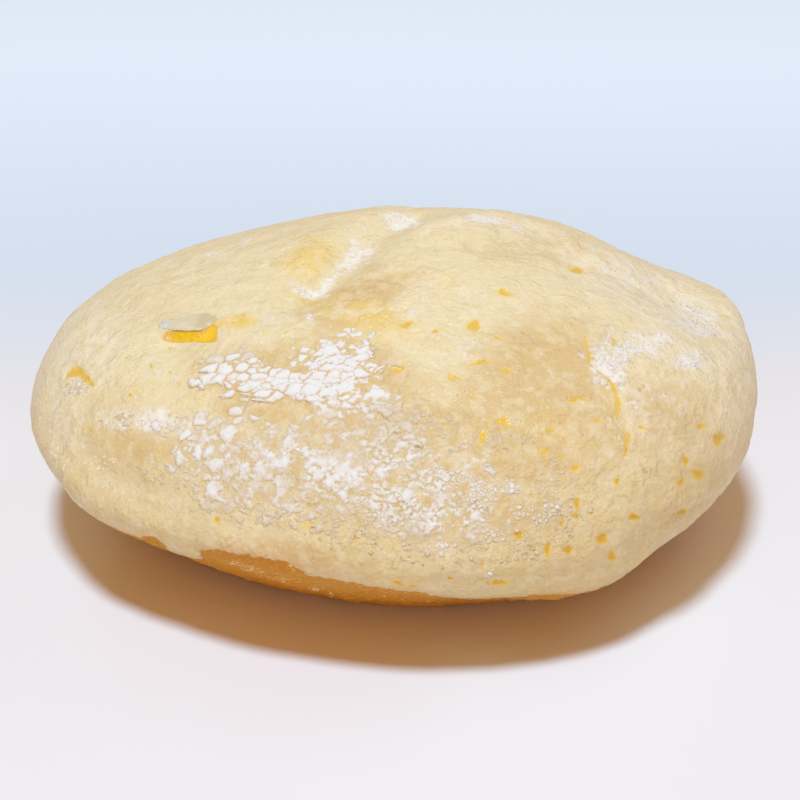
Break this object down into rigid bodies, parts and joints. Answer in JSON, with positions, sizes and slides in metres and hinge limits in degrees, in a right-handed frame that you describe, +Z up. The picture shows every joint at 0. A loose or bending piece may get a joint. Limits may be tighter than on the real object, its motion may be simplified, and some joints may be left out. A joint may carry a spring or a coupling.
{
  "type": "mochi bun",
  "caption": "Round mochi bun: a low soft dome that overhangs a small flat browned base, with a fold by its crown, a torn slot under a lifted flake, a crack and pits.",
  "frame": {"origin": "middle of the bun's bounding box, on the flat base that it rests on", "axes": "+Z up, +X towards the thick right end, -Y towards the front that the picture shows"},
  "size_m": [0.0922, 0.0764, 0.0384],
  "materials": {
    "mochi_skin": "soft satin baked dough, pale cream yellow with white flour"
  },
  "bodies": {
    "root": {"mochi_bun": "mochi_skin"}
  },
  "joints": []
}
